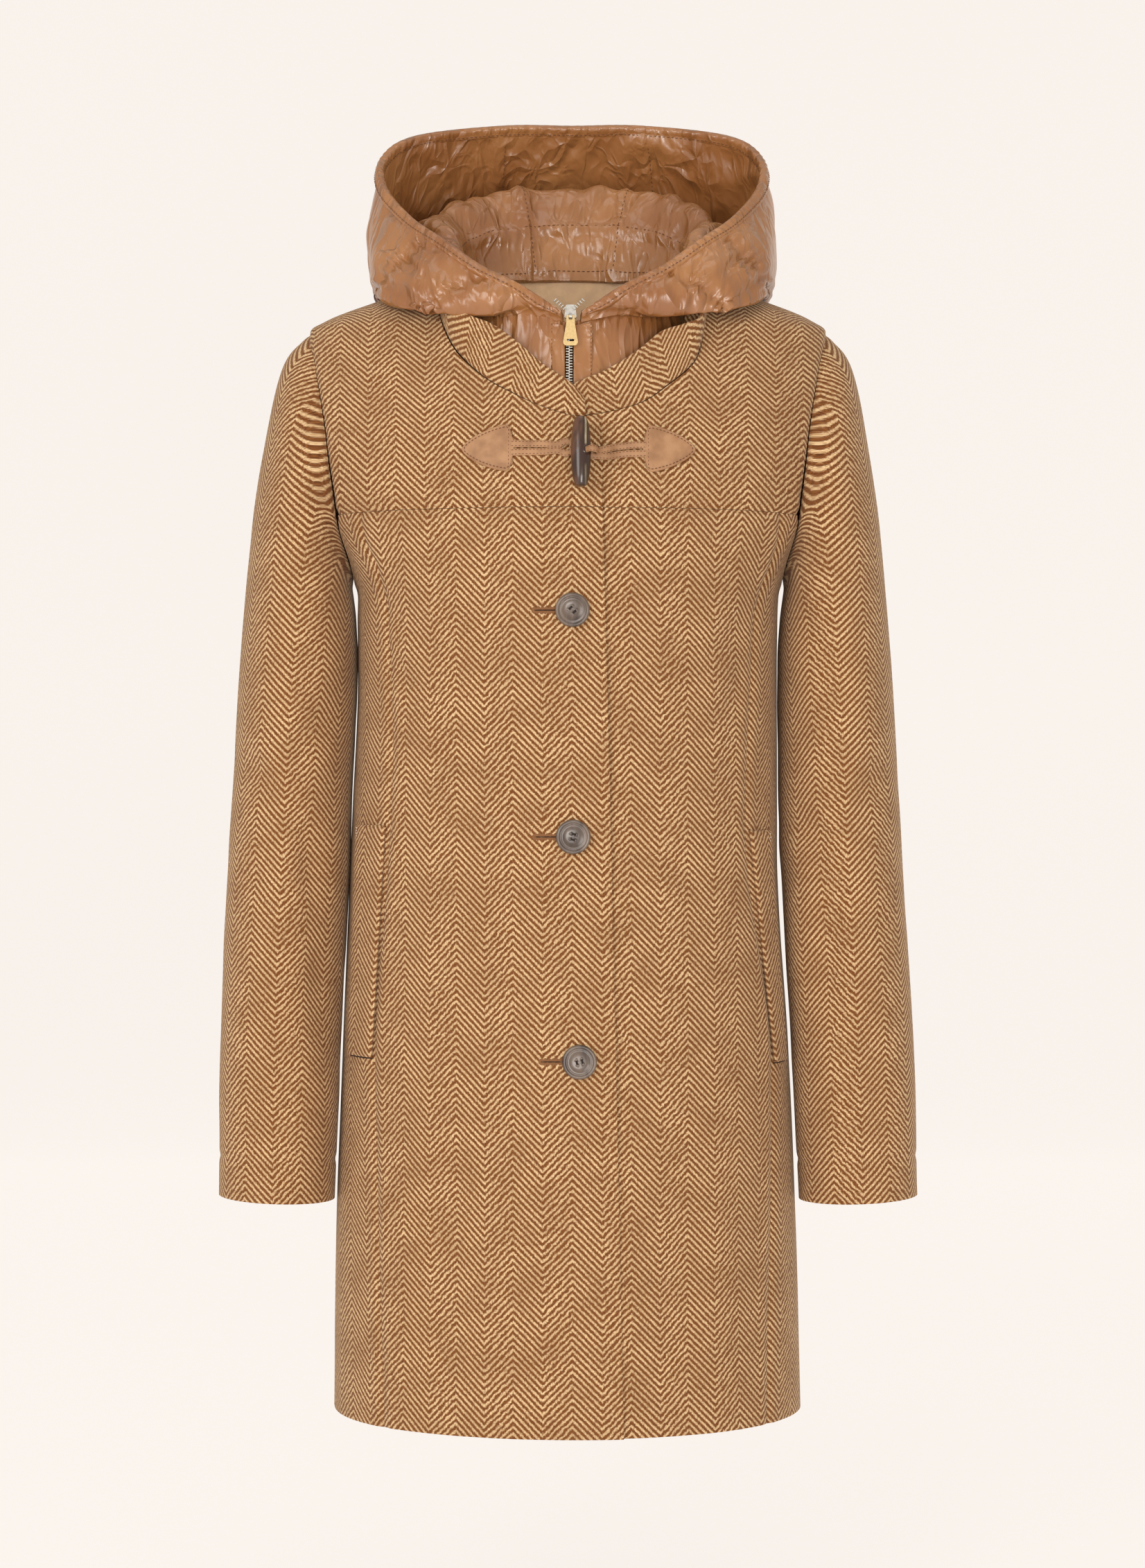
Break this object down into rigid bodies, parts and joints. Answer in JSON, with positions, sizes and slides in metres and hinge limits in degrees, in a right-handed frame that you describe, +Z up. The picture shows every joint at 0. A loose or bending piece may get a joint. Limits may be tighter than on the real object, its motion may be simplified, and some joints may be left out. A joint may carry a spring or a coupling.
{
  "type": "duffle coat",
  "caption": "Herringbone wool duffle coat with stand collar, horn toggle on leather loops, horn buttons, welt pockets and a padded nylon hood over a zipped bib, filled out as worn.",
  "frame": {"origin": "between the wearer's neck and shoulders, where they hold the coat, in the middle and at the height of the neck seam's back", "axes": "+Z up, the coat's front faces -Y, +X to the right as seen from the front, millimetres in the source and metres here"},
  "size_m": [0.538, 0.303, 1.0178],
  "materials": {
    "herringbone_wool": "brushed wool, cream and brown herringbone",
    "tan_leather": "smooth, satin",
    "dark_horn": "polished horn with a pale streak",
    "button_horn": "satin horn",
    "brown_nylon": "shiny woven nylon",
    "tan_satin": "satin",
    "silver_zip": "bright metal",
    "pale_gold": "satin"
  },
  "bodies": {
    "coat": {"yoke_left": "herringbone_wool", "yoke_right": "herringbone_wool", "front_left": "herringbone_wool", "front_right": "herringbone_wool", "side_front_left": "herringbone_wool", "side_front_right": "herringbone_wool", "back": "herringbone_wool", "sleeve_left": "herringbone_wool", "sleeve_right": "herringbone_wool", "collar": "herringbone_wool", "pocket_welt_left": "herringbone_wool", "pocket_welt_right": "herringbone_wool", "patch_left": "tan_leather", "patch_right": "tan_leather", "cord_left": "tan_leather", "cord_right": "tan_leather", "toggle": "dark_horn", "button_1": "button_horn", "button_2": "button_horn", "button_3": "button_horn", "bib_left": "brown_nylon", "bib_right": "brown_nylon", "placket_left": "brown_nylon", "placket_right": "brown_nylon", "hood_left": "brown_nylon", "hood_centre": "brown_nylon", "hood_right": "brown_nylon", "hood_binding": "brown_nylon", "neck_facing": "tan_satin", "zip_teeth": "silver_zip", "zip_slider": "silver_zip"},
    "pull": {"zip_pull": "pale_gold"}
  },
  "joints": [
    {"name": "pull_swing", "type": "hinge", "parent": "coat", "child": "pull", "pos_m": [-0.001, -0.0945, -0.0395], "axis": [-1, 0, 0], "range_deg": [0, 140]}
  ]
}
